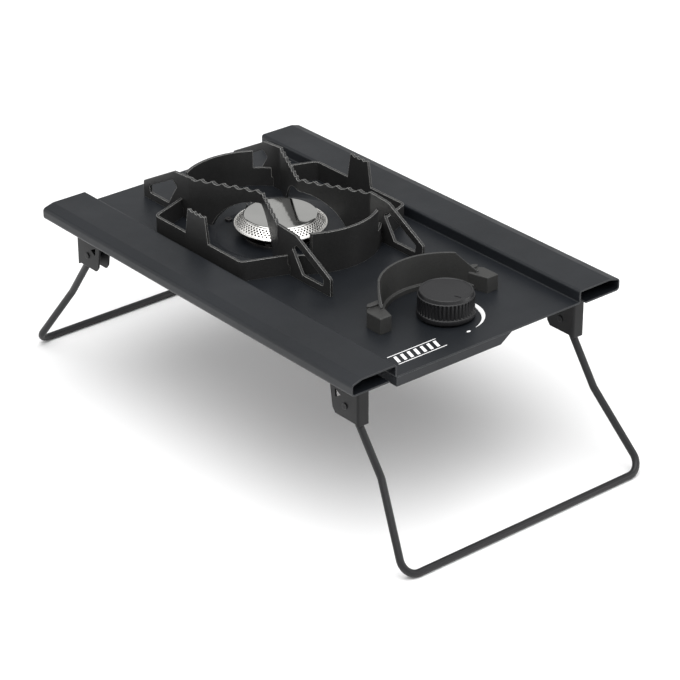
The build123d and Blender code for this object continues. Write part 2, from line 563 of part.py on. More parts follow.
LEAD_ROUTE = [(-18.0, KNOB_Y + 22.0, DECK_TOP - 9.0), (-18.0, -100.0, DECK_TOP - 9.0),
              (-31.0, -78.0, DECK_TOP - 8.0), (-31.5, -30.0, DECK_TOP - 8.0), (-33.5, 10.0, DECK_TOP - 8.6),
              (-33.0, 52.0, DECK_TOP - 9.4), (-27.0, 80.0, DECK_TOP - 13.0),
              (ELECTRODE[0], ELECTRODE[1], DECK_TOP - 19.5), (ELECTRODE[0], ELECTRODE[1], DECK_TOP - 12.0)]
LEAD_RADII = [12.0, 14.0, 60.0, 60.0, 30.0, 10.0, 3.0]


def ignition_lead():
    """High-voltage lead from the spark unit to the electrode, along the underside of the deck."""
    return tube_along(LEAD_ROUTE, LEAD_RADII, LEAD_RADIUS)


def lead_clips():
    """Small hooks that hold the lead up to the deck."""
    clips = []
    for x, y in ((-31.25, -54.0), (-32.5, -10.0)):
        hook = rod("Y", LEAD_RADIUS + 1.0, (y - 3, y + 3), (x, DECK_TOP - 8.1))
        hook += block((x - 2.2, x - 1.2), (y - 3, y + 3), (DECK_TOP - 8.1, DECK_UNDER))
        hook += block((x - 8.0, x - 1.2), (y - 3, y + 3), (DECK_UNDER - 1.0, DECK_UNDER))
        clips.append(hook - rod("Y", LEAD_RADIUS + 0.3, (y - 4, y + 4), (x, DECK_TOP - 8.1)))
    return clips


def electrode_ceramic():
    """White ceramic sleeve that carries the spark electrode up through the dish."""
    x, y = ELECTRODE
    top = DECK_TOP - CERAMIC_DROP
    return turned([(0, DECK_TOP - 12.0), (2.4, DECK_TOP - 12.0), (2.4, DISH_UNDER - 1.6), (3.2, DISH_UNDER - 1.6),
                   (3.2, DISH_UNDER - 1.0), (2.4, DISH_UNDER - 1.0), (2.4, top - 1.0), (1.6, top), (0, top)], x, y)


def electrode_tip():
    """Bent spark wire that reaches over the rim of the burner."""
    x, y = ELECTRODE
    route = [(x, y, DECK_TOP - CERAMIC_DROP), (x, y, DECK_TOP + 9.0), (x + 0.6, y - 5.0, DECK_TOP + 9.6)]
    return tube_along(route, 2.0, 0.7)


def electrode_bracket():
    """Plate under the dish that holds the ceramic."""
    x, y = ELECTRODE
    top = DISH_UNDER
    plate = block((ELECTRODE_SCREW[0] - 5, x + 5), (y - 5, ELECTRODE_SCREW[1] + 4), (top - 1.0, top))
    plate = fillet(plate.edges().filter_by(Axis.Z), 4.0)
    plate -= rod("Z", 2.4, (top - 2, top + 1), (x, y))
    return plate - rod("Z", SCREW_RADIUS, (top - 2, top + 1), ELECTRODE_SCREW)


def electrode_screw():
    x, y = ELECTRODE_SCREW
    return screw_down(x, y, DISH_FLOOR, 4.6)


# ---------------------------------------------------------------- gas supply
def inlet_flange():
    """Disc that the cartridge collar seats on, with the stem bore, a locating key and two hooks."""
    disc = rod("Y", SOCKET_RADIUS, (SOCKET_Y, SOCKET_Y + 4.0), (GAS_X, GAS_Z))
    disc = fillet(disc.edges().filter_by(GeomType.CIRCLE), 0.6)
    disc -= rod("Y", STEM_RADIUS, (SOCKET_Y - 1, SOCKET_Y + 5), (GAS_X, GAS_Z))
    key = block((GAS_X - 2.0, GAS_X + 2.0), (SOCKET_Y - 3.0, SOCKET_Y), (GAS_Z + 12.0, GAS_Z + 16.0))
    return disc + key


def inlet_seal():
    """Rubber ring clamped behind the stem bore."""
    ring = rod("Y", SEAL_RADIUS, (SOCKET_Y + 4.0, SOCKET_Y + 5.6), (GAS_X, GAS_Z))
    return ring - rod("Y", 2.2, (SOCKET_Y + 3.0, SOCKET_Y + 7.0), (GAS_X, GAS_Z))


def regulator_body():
    """Cast pressure regulator behind the inlet, with the outlet boss for the gas pipe."""
    front = SOCKET_Y + 4.0
    body = rod("Y", REGULATOR_RADIUS, (front, REGULATOR_END_Y), (GAS_X, GAS_Z))
    body += rod("X", 5.0, (GAS_X - 20.0, GAS_X - 8.0), (52.0, GAS_Z + 8.0))
    body -= rod("Y", SEAL_RADIUS, (front - 1, front + 1.6), (GAS_X, GAS_Z))
    body -= rod("Y", 2.2, (front, front + 8), (GAS_X, GAS_Z))
    body -= rod("Y", 11.0, (front + 8, REGULATOR_END_Y + 1), (GAS_X, GAS_Z))
    return body - rod("X", PIPE_RADIUS, (GAS_X - 21.0, GAS_X - 16.0), (52.0, GAS_Z + 8.0))


def regulator_diaphragm():
    """Rubber diaphragm clamped between the regulator body and its cover."""
    return rod("Y", REGULATOR_RADIUS, (REGULATOR_END_Y, REGULATOR_END_Y + 0.8), (GAS_X, GAS_Z))


def regulator_spring():
    """Coil spring behind the diaphragm."""
    coil = Helix(pitch=2.4, height=7.2, radius=5.0)
    section = Plane(origin=coil @ 0, z_dir=coil % 0) * Circle(0.6)
    wire = sweep(section, path=coil)
    return Pos(GAS_X, REGULATOR_END_Y + 1.5, GAS_Z) * Rot(-90, 0, 0) * wire


def regulator_cover():
    """Domed cover over the diaphragm and spring, with a vent hole."""
    low = REGULATOR_END_Y + 0.8
    cover = rod("Y", COVER_RADIUS, (low, low + 11.0), (GAS_X, GAS_Z))
    cover = fillet(cover.edges().filter_by(GeomType.CIRCLE).sort_by(Axis.Y)[-1], 3.0)
    cover -= rod("Y", 12.0, (low - 1, low + 8.8), (GAS_X, GAS_Z))
    return cover - rod("Y", 0.8, (low, low + 12), (GAS_X + 6.0, GAS_Z))


def regulator_hanger():
    """Sheet hanger, spot-welded to the deck, that closes behind the regulator cover."""
    low = REGULATOR_END_Y + 11.8
    x = (GAS_X, GAS_X + 15.0)
    hanger = block(x, (low, low + 1.5), (GAS_Z - 8.0, DECK_UNDER))
    return hanger + block(x, (REGULATOR_END_Y + 5.0, low), (DECK_UNDER - 1.5, DECK_UNDER))


PIPE_ROUTE = [(GAS_X - 20.0, 52.0, GAS_Z + 8.0), (27.5, 52.0, GAS_Z + 8.0), (21.0, 31.0, DECK_TOP - 12.0),
              (18.0, -20.0, DECK_TOP - 12.0), (17.5, KNOB_Y, DECK_TOP - 12.0), (VALVE_HALF - 3.0, KNOB_Y, DECK_TOP - 12.0)]
PIPE_RADII = [7.0, 12.0, 80.0, 5.5]


def gas_pipe():
    """Copper pipe from the regulator to the valve."""
    return tube_along(PIPE_ROUTE, PIPE_RADII, PIPE_RADIUS)


def save(name, shape):
    """Write one node. A list is written as separate solids."""
    if isinstance(shape, list):
        shape = Compound(children=[solid for item in shape for solid in item.solids()])
    export_step(shape, f"parts/{name}.step")


if __name__ == "__main__":
    save("deck_panel", deck_panel())
    for side_name, side in (("left", -1), ("right", 1)):
        for end_name, end in (("front", -1), ("rear", 1)):
            save(f"leg_bracket_{end_name}_{side_name}", leg_bracket(side, end))
        save(f"pot_support_{side_name}", support_plate(side))
    save("bracket_rivets", bracket_rivets())
    save("leg_pivot_pins", leg_pivot_pins())
    save("front_leg", wire_leg(-1))
    save("rear_leg", wire_leg(1))
    for make in (wind_ring, burner_chamber, burner_gasket, burner_bowl, burner_band, burner_cap, burner_screws,
                 mixing_tube, valve_body, jet_nozzle, valve_spindle, knob_bush, knob, knob_guard, valve_pan,
                 guard_screws, piezo_igniter, igniter_strap, ignition_lead, lead_clips,
                 electrode_ceramic, electrode_tip, electrode_bracket, electrode_screw, inlet_flange, inlet_seal,
                 regulator_body, regulator_diaphragm, regulator_spring, regulator_cover, regulator_hanger,
                 gas_pipe):
        save(make.__name__, make())
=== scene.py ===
import json
import math

import bmesh
import bpy
from mathutils import Matrix, Vector


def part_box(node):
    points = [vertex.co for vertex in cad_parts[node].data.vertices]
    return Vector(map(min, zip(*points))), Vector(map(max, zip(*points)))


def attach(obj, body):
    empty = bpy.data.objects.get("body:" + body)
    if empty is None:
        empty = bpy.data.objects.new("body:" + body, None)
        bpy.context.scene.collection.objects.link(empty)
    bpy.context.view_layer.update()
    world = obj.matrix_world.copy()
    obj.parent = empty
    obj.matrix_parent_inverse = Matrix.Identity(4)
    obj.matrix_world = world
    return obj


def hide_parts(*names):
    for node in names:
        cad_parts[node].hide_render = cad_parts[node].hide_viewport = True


# The look of a folding camping stove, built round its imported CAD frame. Units are metres, +Z is up,
# -Y is the front (the knob end), and the ground is z = 0.

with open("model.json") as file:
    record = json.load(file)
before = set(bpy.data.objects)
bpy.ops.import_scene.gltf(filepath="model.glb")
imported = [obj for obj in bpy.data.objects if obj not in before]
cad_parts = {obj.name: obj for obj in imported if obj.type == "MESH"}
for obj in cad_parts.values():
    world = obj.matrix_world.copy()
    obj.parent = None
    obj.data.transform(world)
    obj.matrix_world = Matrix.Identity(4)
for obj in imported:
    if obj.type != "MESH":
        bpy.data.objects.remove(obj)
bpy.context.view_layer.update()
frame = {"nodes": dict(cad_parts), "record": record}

MM = 0.001
KNOB_LOW, KNOB_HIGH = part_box("knob")
KNOB_X = (KNOB_LOW.x + KNOB_HIGH.x) / 2
KNOB_Y = (KNOB_LOW.y + KNOB_HIGH.y) / 2
DECK_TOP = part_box("wind_ring")[0].z
CAP_LOW, CAP_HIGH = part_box("burner_cap")
BAND_LOW, BAND_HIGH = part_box("burner_band")
BURNER_X = (CAP_LOW.x + CAP_HIGH.x) / 2
BURNER_Y = (CAP_LOW.y + CAP_HIGH.y) / 2


# ---------------------------------------------------------------- node helpers
class Shader:
    """A small wrapper that adds and links nodes in one material."""

    def __init__(self, name):
        self.material = bpy.data.materials.new(name)
        self.material.use_nodes = True
        self.nodes = self.material.node_tree.nodes
        self.links = self.material.node_tree.links
        self.nodes.clear()
        self.surface = self.nodes.new("ShaderNodeBsdfPrincipled")
        output = self.nodes.new("ShaderNodeOutputMaterial")
        self.links.new(self.surface.outputs["BSDF"], output.inputs["Surface"])
        self.place = self.nodes.new("ShaderNodeTexCoord").outputs["Object"]

    def set(self, **values):
        """Fixed values on the shader's own sockets."""
        for key, value in values.items():
            self.surface.inputs[key.replace("_", " ")].default_value = value

    def feed(self, source, target):
        """Links a socket to a named input of the shader."""
        self.links.new(source, self.surface.inputs[target])

    def noise(self, scale, detail=3.0, roughness=0.5, stretch=None):
        """Noise in object space. scale is in cells per metre."""
        node = self.nodes.new("ShaderNodeTexNoise")
        node.inputs["Scale"].default_value = scale
        node.inputs["Detail"].default_value = detail
        node.inputs["Roughness"].default_value = roughness
        source = self.place
        if stretch:
            mapping = self.nodes.new("ShaderNodeMapping")
            mapping.inputs["Scale"].default_value = stretch
            self.links.new(source, mapping.inputs["Vector"])
            source = mapping.outputs["Vector"]
        self.links.new(source, node.inputs["Vector"])
        return node.outputs["Fac"]

    def span(self, source, low, high, out_low=0.0, out_high=1.0):
        """Maps a range onto another, clamped."""
        node = self.nodes.new("ShaderNodeMapRange")
        for key, value in (("From Min", low), ("From Max", high), ("To Min", out_low), ("To Max", out_high)):
            node.inputs[key].default_value = value
        self.links.new(source, node.inputs["Value"])
        return node.outputs["Result"]

    def ramp(self, source, stops):
        """Colour ramp from (position, colour) stops."""
        node = self.nodes.new("ShaderNodeValToRGB")
        elements = node.color_ramp.elements
        while len(elements) < len(stops):
            elements.new(0.5)
        for element, (position, colour) in zip(elements, stops):
            element.position = position
            element.color = (*colour, 1.0)
        self.links.new(source, node.inputs["Fac"])
        return node.outputs["Color"]

    def mix(self, factor, first, second):
        """Mixes two colours, each a socket or a fixed colour."""
        node = self.nodes.new("ShaderNodeMix")
        node.data_type = "RGBA"
        self.links.new(factor, node.inputs["Factor"])
        for socket, value in ((node.inputs["A"], first), (node.inputs["B"], second)):
            if isinstance(value, tuple):
                socket.default_value = (*value, 1.0)
            else:
                self.links.new(value, socket)
        return node.outputs["Result"]

    def math(self, operation, first, second):
        """Arithmetic on sockets or fixed numbers."""
        node = self.nodes.new("ShaderNodeMath")
        node.operation = operation
        for socket, value in zip(node.inputs, (first, second)):
            if isinstance(value, (int, float)):
                socket.default_value = value
            else:
                self.links.new(value, socket)
        return node.outputs["Value"]

    def rounded(self, radius):
        """Normal of edges rounded to a radius."""
        node = self.nodes.new("ShaderNodeBevel")
        node.samples = 6
        node.inputs["Radius"].default_value = radius
        return node.outputs["Normal"]

    def edge(self, radius):
        """Mask that is 1 along convex and concave edges."""
        soft = self.rounded(radius)
        dot = self.nodes.new("ShaderNodeVectorMath")
        dot.operation = "DOT_PRODUCT"
        true_normal = self.nodes.new("ShaderNodeNewGeometry").outputs["Normal"]
        self.links.new(soft, dot.inputs[0])
        self.links.new(true_normal, dot.inputs[1])
        turned = self.math("SUBTRACT", 1.0, dot.outputs["Value"])
        return self.span(turned, 0.02, 0.25)

    def bump(self, height, distance, strength=1.0, normal=None):
        """Bump of a height in metres, over an optional normal."""
        node = self.nodes.new("ShaderNodeBump")
        node.inputs["Strength"].default_value = strength
        node.inputs["Distance"].default_value = distance
        self.links.new(height, node.inputs["Height"])
        if normal is not None:
            self.links.new(normal, node.inputs["Normal"])
        self.links.new(node.outputs["Normal"], self.surface.inputs["Normal"])


def powder_coat(name, dark, light, roughness, grain=1400.0, depth=0.00006, worn_and_highlit_edge_colour=(0.16, 0.165, 0.17),
                edge_radius=0.0007, worn_and_highlit_edge_strength=0.55, gloss=0.4):
    """Fine-grained coat on metal, lighter and smoother along the edges: the lighter colour is partly
    thin-coat wear and partly a painted highlight.
    """
    s = Shader(name)
    broad = s.noise(9.0, 2.0)
    fine = s.noise(grain, 2.0, 0.6)
    body = s.ramp(broad, [(0.35, dark), (0.65, light)])
    speck = s.span(fine, 0.35, 0.75, 0.0, 0.35)
    body = s.mix(speck, body, tuple(min(1.0, 1.9 * c) for c in light))
    # Edge mask: the lighter edge colour is partly wear of the thin coat and partly a painted highlight where
    # edges catch light.
    edge = s.edge(edge_radius)
    patch = s.span(s.noise(260.0, 3.0), 0.25, 0.7, 0.45, 1.0)
    edge = s.math("MULTIPLY", s.math("MULTIPLY", edge, patch), worn_and_highlit_edge_strength)
    s.feed(s.mix(edge, body, worn_and_highlit_edge_colour), "Base Color")
    rough = s.span(s.noise(40.0, 4.0), 0.3, 0.7, roughness - 0.05, roughness + 0.06)
    rough = s.math("SUBTRACT", rough, s.math("MULTIPLY", edge, 0.12))
    s.feed(rough, "Roughness")
    s.set(Specular_IOR_Level=gloss)
    s.bump(fine, depth, 0.8, s.rounded(edge_radius))
    return s.material


def metal(name, dark, light, roughness, stretch=(1.0, 1.0, 1.0), scale=900.0, depth=0.00002, tint=None):
    """Bare metal with fine drawing or casting marks and slight colour drift."""
    s = Shader(name)
    grain = s.noise(scale, 3.0, 0.6, stretch)
    drift = s.noise(30.0, 2.0)
    colour = s.ramp(drift, [(0.3, dark), (0.7, light)])
    if tint:
        stain = s.span(s.noise(70.0, 4.0), 0.55, 0.75, 0.0, 0.5)
        colour = s.mix(stain, colour, tint)
    s.feed(colour, "Base Color")
    s.feed(s.span(grain, 0.3, 0.7, roughness - 0.06, roughness + 0.08), "Roughness")
    s.set(Metallic=1.0)
    s.bump(grain, depth, 0.7, s.rounded(0.0003))
    return s.material


def plastic(name, dark, light, roughness, grain=2600.0, depth=0.00004):
    """Moulded plastic or rubber with a fine spark-eroded grain."""
    s = Shader(name)
    fine = s.noise(grain, 2.0, 0.6)
    broad = s.noise(60.0, 2.0)
    s.feed(s.ramp(broad, [(0.35, dark), (0.65, light)]), "Base Color")
    s.feed(s.span(broad, 0.3, 0.7, roughness - 0.04, roughness + 0.05), "Roughness")
    s.set(Specular_IOR_Level=0.45)
    s.bump(fine, depth, 0.7, s.rounded(0.0004))
    return s.material


DECK_COAT = powder_coat("deck_coat", (0.006, 0.0072, 0.009), (0.009, 0.0105, 0.013), 0.40, gloss=0.32)
BRACKET_COAT = powder_coat("bracket_coat", (0.004, 0.004, 0.0045), (0.006, 0.006, 0.0065), 0.42, gloss=0.25)
GUARD_COAT = powder_coat("guard_coat", (0.024, 0.024, 0.023), (0.030, 0.030, 0.029), 0.44, gloss=0.40)
LEG_COAT = powder_coat("leg_coat", (0.008, 0.008, 0.009), (0.012, 0.012, 0.013), 0.40, gloss=0.35)
# The support's edges get a near-white colour, mostly a painted highlight and only partly wear.
ENAMEL = powder_coat("support_enamel", (0.013, 0.013, 0.013), (0.018, 0.018, 0.018), 0.38, gloss=0.45,
                     grain=900.0, depth=0.00010, worn_and_highlit_edge_colour=(0.62, 0.62, 0.60), worn_and_highlit_edge_strength=0.9)
STAINLESS = metal("stainless", (0.66, 0.65, 0.63), (0.78, 0.77, 0.75), 0.30)
CAP_METAL = metal("cap_stainless", (0.60, 0.60, 0.58), (0.68, 0.68, 0.66), 0.08, stretch=(1.0, 14.0, 1.0),
                  scale=420.0, depth=0.000004)
BAND_METAL = metal("band_stainless", (0.88, 0.87, 0.84), (0.95, 0.94, 0.91), 0.36)
# Near-black steel for an extra sheet inside the flame band: painted shade seen through its holes.
SHADE_LINER_STEEL = metal("painted_shade_steel", (0.030, 0.028, 0.026), (0.060, 0.056, 0.052), 0.6)
DARK_STEEL = metal("heat_tinted_steel", (0.10, 0.10, 0.105), (0.17, 0.165, 0.16), 0.42,
                   tint=(0.16, 0.12, 0.09))
ZINC = metal("zinc_plate", (0.50, 0.51, 0.52), (0.62, 0.63, 0.63), 0.34)
CAST_ALUMINIUM = metal("cast_aluminium", (0.48, 0.48, 0.48), (0.60, 0.60, 0.60), 0.50, scale=500.0,
                       depth=0.00006)
BRASS = metal("brass", (0.60, 0.42, 0.18), (0.74, 0.55, 0.28), 0.30)
COPPER = metal("copper", (0.60, 0.30, 0.19), (0.74, 0.42, 0.29), 0.32, tint=(0.32, 0.15, 0.10))
BRIGHT_WIRE = metal("bright_wire", (0.58, 0.58, 0.58), (0.68, 0.68, 0.68), 0.25)
KNOB_PLASTIC = plastic("knob_plastic", (0.006, 0.006, 0.007), (0.009, 0.009, 0.010), 0.40)
BLACK_PLASTIC = plastic("igniter_plastic", (0.03, 0.03, 0.03), (0.05, 0.05, 0.05), 0.45)
LEAD_SLEEVE = plastic("lead_sleeve", (0.30, 0.016, 0.014), (0.40, 0.025, 0.02), 0.5)
SEAL_RUBBER = plastic("seal_rubber", (0.02, 0.02, 0.02), (0.035, 0.035, 0.035), 0.65)
FIBRE = plastic("gasket_fibre", (0.38, 0.37, 0.35), (0.48, 0.47, 0.44), 0.85, grain=900.0, depth=0.00012)
CERAMIC = plastic("ceramic", (0.78, 0.77, 0.73), (0.86, 0.85, 0.81), 0.18, grain=500.0, depth=0.00001)
PRINT_WHITE = plastic("print_white", (0.80, 0.80, 0.80), (0.88, 0.88, 0.88), 0.45, grain=1800.0)

SLOT_MATERIALS = {
    "deck_powder": DECK_COAT, "bracket_powder": BRACKET_COAT, "guard_powder": GUARD_COAT,
    "leg_powder": LEG_COAT, "support_enamel": ENAMEL, "burner_stainless": STAINLESS,
    "burner_dark_steel": DARK_STEEL, "zinc_steel": ZINC, "cast_aluminium": CAST_ALUMINIUM,
    "valve_brass": BRASS, "copper_pipe": COPPER, "electrode_wire": BRIGHT_WIRE,
    "knob_plastic": KNOB_PLASTIC, "igniter_plastic": BLACK_PLASTIC, "lead_rubber": LEAD_SLEEVE,
    "seal_rubber": SEAL_RUBBER, "gasket_fibre": FIBRE, "ceramic_white": CERAMIC,
}


def dress_cad_nodes():
    """Gives each carried-over CAD node the material of its slot."""
    slots = {part["node"]: part["material_slot"] for part in frame["record"]["subparts"]}
    for node, obj in frame["nodes"].items():
        obj.data.materials.clear()
        obj.data.materials.append(SLOT_MATERIALS[slots[node]])


# ---------------------------------------------------------------- mesh helpers
def new_piece(name, mesh_data, material, body, smooth=True):
    """Object from a bmesh, with a material, riding on a body."""
    mesh = bpy.data.meshes.new(name)
    mesh_data.to_mesh(mesh)
    mesh_data.free()
    for polygon in mesh.polygons:
        polygon.use_smooth = smooth
    mesh.materials.append(material)
    piece = bpy.data.objects.new(name, mesh)
    bpy.context.scene.collection.objects.link(piece)
    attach(piece, body)
    return piece


def crisp(piece, angle=35.0):
    """Smooth shading that stops at edges sharper than an angle."""
    bm = bmesh.new()
    bm.from_mesh(piece.data)
    limit = math.radians(angle)
    for edge in bm.edges:
        edge.smooth = len(edge.link_faces) == 2 and edge.calc_face_angle() < limit
    bm.to_mesh(piece.data)
    bm.free()
    return piece


def point_on(radius, angle, z, x, y):
    """Point at a radius, an angle and a height about the vertical axis at x, y."""
    return Vector((x + radius * math.cos(angle), y + radius * math.sin(angle), z))


def lathe(profile, x, y, steps=160, loop=False, grooves=0):
    """Surface of revolution about a vertical axis, from (radius, z) or (radius, z, groove depth) points."""
    bm = bmesh.new()
    rings = []
    for radius, z, *groove in profile:
        if radius < 1e-7:
            rings.append([bm.verts.new((x, y, z))])
            continue
        ring = []
        for i in range(steps):
            angle = 2 * math.pi * i / steps
            cut = groove[0] * max(0.0, math.cos(grooves * angle)) ** 0.8 if groove else 0.0
            ring.append(bm.verts.new(point_on(radius - cut, angle, z, x, y)))
        rings.append(ring)
    pairs = list(zip(rings, rings[1:]))
    if loop:
        pairs.append((rings[-1], rings[0]))
    for lower, upper in pairs:
        for i in range(steps):
            corners = []
            for ring, index in ((lower, i), (lower, i + 1), (upper, i + 1), (upper, i)):
                vert = ring[index % len(ring)]
                if vert not in corners:
                    corners.append(vert)
            if len(corners) > 2:
                bm.faces.new(corners)
    bmesh.ops.recalc_face_normals(bm, faces=bm.faces)
    return bm


def join(first, second):
    """Adds one bmesh to another."""
    mesh = bpy.data.meshes.new("joined")
    second.to_mesh(mesh)
    second.free()
    first.from_mesh(mesh)
    bpy.data.meshes.remove(mesh)
    return first


def slab(outline, low, high):
    """Flat plate with any outline, between two heights."""
    bm = bmesh.new()
    bottom = [bm.verts.new((x, y, low)) for x, y in outline]
    top = [bm.verts.new((x, y, high)) for x, y in outline]
    bm.faces.new(bottom)
    bm.faces.new(top)
    for i in range(len(outline)):
        j = (i + 1) % len(outline)
        bm.faces.new((bottom[i], bottom[j], top[j], top[i]))
    bmesh.ops.triangulate(bm, faces=[f for f in bm.faces if len(f.verts) > 4])
    bmesh.ops.recalc_face_normals(bm, faces=bm.faces)
    return bm


# ---------------------------------------------------------------- burner
BAND_ROWS = 4
BAND_COLUMNS = 66
HOLE_RADIUS = 0.74 * MM
HOLES_FROM, HOLES_TO = 0.12, 0.90   # the shares of the band's slant where the rows of holes start and end
RIM_ROLL = 0.62 * MM
# corners of the sheet round one hole, in half columns and rows from its centre
CELL = [(-1, -0.5), (-0.5, -0.5), (0, -0.5), (0.5, -0.5), (1, -0.5), (1, -0.25), (1, 0), (1, 0.25),
        (1, 0.5), (0.5, 0.5), (0, 0.5), (-0.5, 0.5), (-1, 0.5), (-1, 0.25), (-1, 0), (-1, -0.25)]


def perforated_cone(inset, thickness):
    """Conical sheet with staggered rows of round holes, an inset inside the band's outer surface."""
    foot = (BAND_HIGH.x - BURNER_X - 1.3 * MM - inset, BAND_LOW.z + 0.9 * MM)
    head = (CAP_HIGH.x - BURNER_X - 0.3 * MM - inset, BAND_HIGH.z - 0.02 * MM)
    row_share = (HOLES_TO - HOLES_FROM) / BAND_ROWS
    row_height = row_share * math.hypot(foot[0] - head[0], foot[1] - head[1])
    bm = bmesh.new()
    made = {}

    def at(u, v):
        """Vertex on the cone, at u half columns round and v rows up."""
        u %= 2 * BAND_COLUMNS
        key = (round(u, 4), round(v, 4))
        if key not in made:
            t = HOLES_FROM + row_share * v
            radius = foot[0] + t * (head[0] - foot[0])
            z = foot[1] + t * (head[1] - foot[1])
            made[key] = bm.verts.new(point_on(radius, math.pi * u / BAND_COLUMNS, z, BURNER_X, BURNER_Y))
        return made[key]

    for row in range(BAND_ROWS):
        t = HOLES_FROM + row_share * (row + 0.5)
        half_column = math.pi * (foot[0] + t * (head[0] - foot[0])) / BAND_COLUMNS
        for column in range(BAND_COLUMNS):
            u, v = 2 * column + row % 2, row + 0.5
            turns = [math.atan2(dv * row_height, du * half_column) for du, dv in CELL]
            wide, high = HOLE_RADIUS / half_column, HOLE_RADIUS / row_height
            hole = [at(u + wide * math.cos(a), v + high * math.sin(a)) for a in turns]
            edge = [at(u + du, v + dv) for du, dv in CELL]
            for i in range(len(CELL)):
                j = (i + 1) % len(CELL)
                bm.faces.new((edge[i], edge[j], hole[j], hole[i]))
    for v0, v1 in ((-HOLES_FROM / row_share, 0), (BAND_ROWS, (1.0 - HOLES_FROM) / row_share)):
        for i in range(4 * BAND_COLUMNS):
            bm.faces.new((at(i / 2, v0), at(i / 2 + 0.5, v0), at(i / 2 + 0.5, v1), at(i / 2, v1)))
    bmesh.ops.recalc_face_normals(bm, faces=bm.faces)
    bmesh.ops.solidify(bm, geom=bm.faces[:], thickness=thickness)
    return bm


def rolled_rim():
    """Round bead round the foot of the flame band."""
    centre = (BAND_HIGH.x - BURNER_X - RIM_ROLL, BAND_LOW.z + RIM_ROLL)
    loop = [(centre[0] + RIM_ROLL * math.cos(a), centre[1] + RIM_ROLL * math.sin(a))
            for a in (2 * math.pi * i / 14 for i in range(14))]
    return lathe(loop, BURNER_X, BURNER_Y, steps=4 * BAND_COLUMNS, loop=True)


def pressed_cap():
    """Thin flat cap with a rounded, turned-down edge."""
    edge = CAP_HIGH.x - BURNER_X
    low, high = CAP_LOW.z, CAP_HIGH.z
    profile = [(0, low + 0.1 * MM), (edge - 1.2 * MM, low + 0.1 * MM), (edge - 0.3 * MM, low),
               (edge, low + 0.25 * MM), (edge - 0.12 * MM, low + 0.62 * MM),
               (edge - 0.5 * MM, low + 0.93 * MM), (edge - 1.0 * MM, high - 0.12 * MM),
               (edge - 1.6 * MM, high - 0.02 * MM), (edge - 2.4 * MM, high), (edge * 0.5, high), (0, high)]
    return lathe(profile, BURNER_X, BURNER_Y, steps=240)


def dress_burner():
    """The flame band with its rim, a near-black sheet behind its holes as painted shade seen through them,
    and the cap.
    """
    sheet = join(perforated_cone(0.0, 0.18 * MM), rolled_rim())
    band = crisp(new_piece("flame_band", sheet, BAND_METAL, "stove_body"))
    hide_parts("burner_band")
    # A second, near-black cone just inside the band: painted shade behind the holes, not a real part.
    inside = perforated_cone(0.4 * MM, 0.15 * MM)
    crisp(new_piece("flame_band_shade_liner", inside, SHADE_LINER_STEEL, "stove_body"))
    cap = crisp(new_piece("flame_cap", pressed_cap(), CAP_METAL, "stove_body"), 30)
    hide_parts("burner_cap")


# ---------------------------------------------------------------- knob and print
KNOB_RIBS = 44
RIB_STEPS = 8


def ribbed_knob():
    """Moulded knob: round skirt, ribbed grip, smooth sloped shoulder and a raised top edge."""
    skirt = (KNOB_HIGH.x - KNOB_X) / MM
    # radius, height over the deck and groove depth in millimetres, from the spindle socket round to the top
    rows = [(0, 15.0), (5.0, 15.0), (5.0, 4.0), (18.0, 4.0), (18.0, 1.8), (18.2, 1.6), (skirt - 0.5, 1.6),
            (skirt - 0.15, 1.72), (skirt, 2.1), (skirt, 4.7), (skirt - 0.12, 5.0), (skirt - 0.4, 5.2),
            (20.2, 5.25, 0), (20.2, 5.4, 0.4), (20.2, 5.8, 1.0), (20.2, 16.2, 1.0), (20.2, 16.6, 0.45),
            (20.15, 16.8, 0), (19.9, 17.0), (19.45, 17.15), (19.35, 17.4), (19.0, 19.5), (18.85, 19.8),
            (18.6, 19.95), (18.2, 20.0), (17.7, 20.0), (17.45, 19.85), (17.3, 19.6), (10.0, 19.55),
            (0, 19.55)]
    profile = [(row[0] * MM, DECK_TOP + row[1] * MM, *(d * MM for d in row[2:])) for row in rows]
    return lathe(profile, KNOB_X, KNOB_Y, steps=KNOB_RIBS * RIB_STEPS, grooves=KNOB_RIBS)


def knob_pointer():
    """Small raised wedge near the front of the knob's top."""
    wedge = ((-1.9, -10.8), (1.9, -10.8), (0.3, -15.2), (-0.3, -15.2))
    outline = [(KNOB_X + x * MM, KNOB_Y + y * MM) for x, y in wedge]
    return slab(outline, DECK_TOP + 19.3 * MM, DECK_TOP + 19.95 * MM)


def dress_knob():
    """The knob and the pointer on it, which turn together."""
    knob = crisp(new_piece("knob_moulding", ribbed_knob(), KNOB_PLASTIC, "control_knob"), 40)
    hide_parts("knob")
    new_piece("knob_pointer", knob_pointer(), KNOB_PLASTIC, "control_knob", smooth=False)


PRINT_LOW = DECK_TOP + 0.01 * MM
PRINT_HIGH = DECK_TOP + 0.07 * MM
SCALE_RADIUS = 27.5 * MM
SCALE_STEPS = 40
DOT_X, DOT_Y = KNOB_X - 4.5 * MM, KNOB_Y - 28.6 * MM
DOT_WIDE, DOT_HIGH = 1.7 * MM, 1.05 * MM
DOT_STEPS = 28
MARK_LEFT, MARK_RIGHT = -72.5 * MM, -29.0 * MM
RULES_Y = (-168.4 * MM, -156.5 * MM)
RULE_WIDTH = 0.8 * MM
BARS = 7
BAR_FOOT_Y, BAR_HEAD_Y = -166.0 * MM, -158.1 * MM
BAR_START = MARK_LEFT + 1.2 * MM
BAR_PITCH = 5.9 * MM
BAR_WIDTH = 2.6 * MM
BAR_SLANT = 2.4 * MM


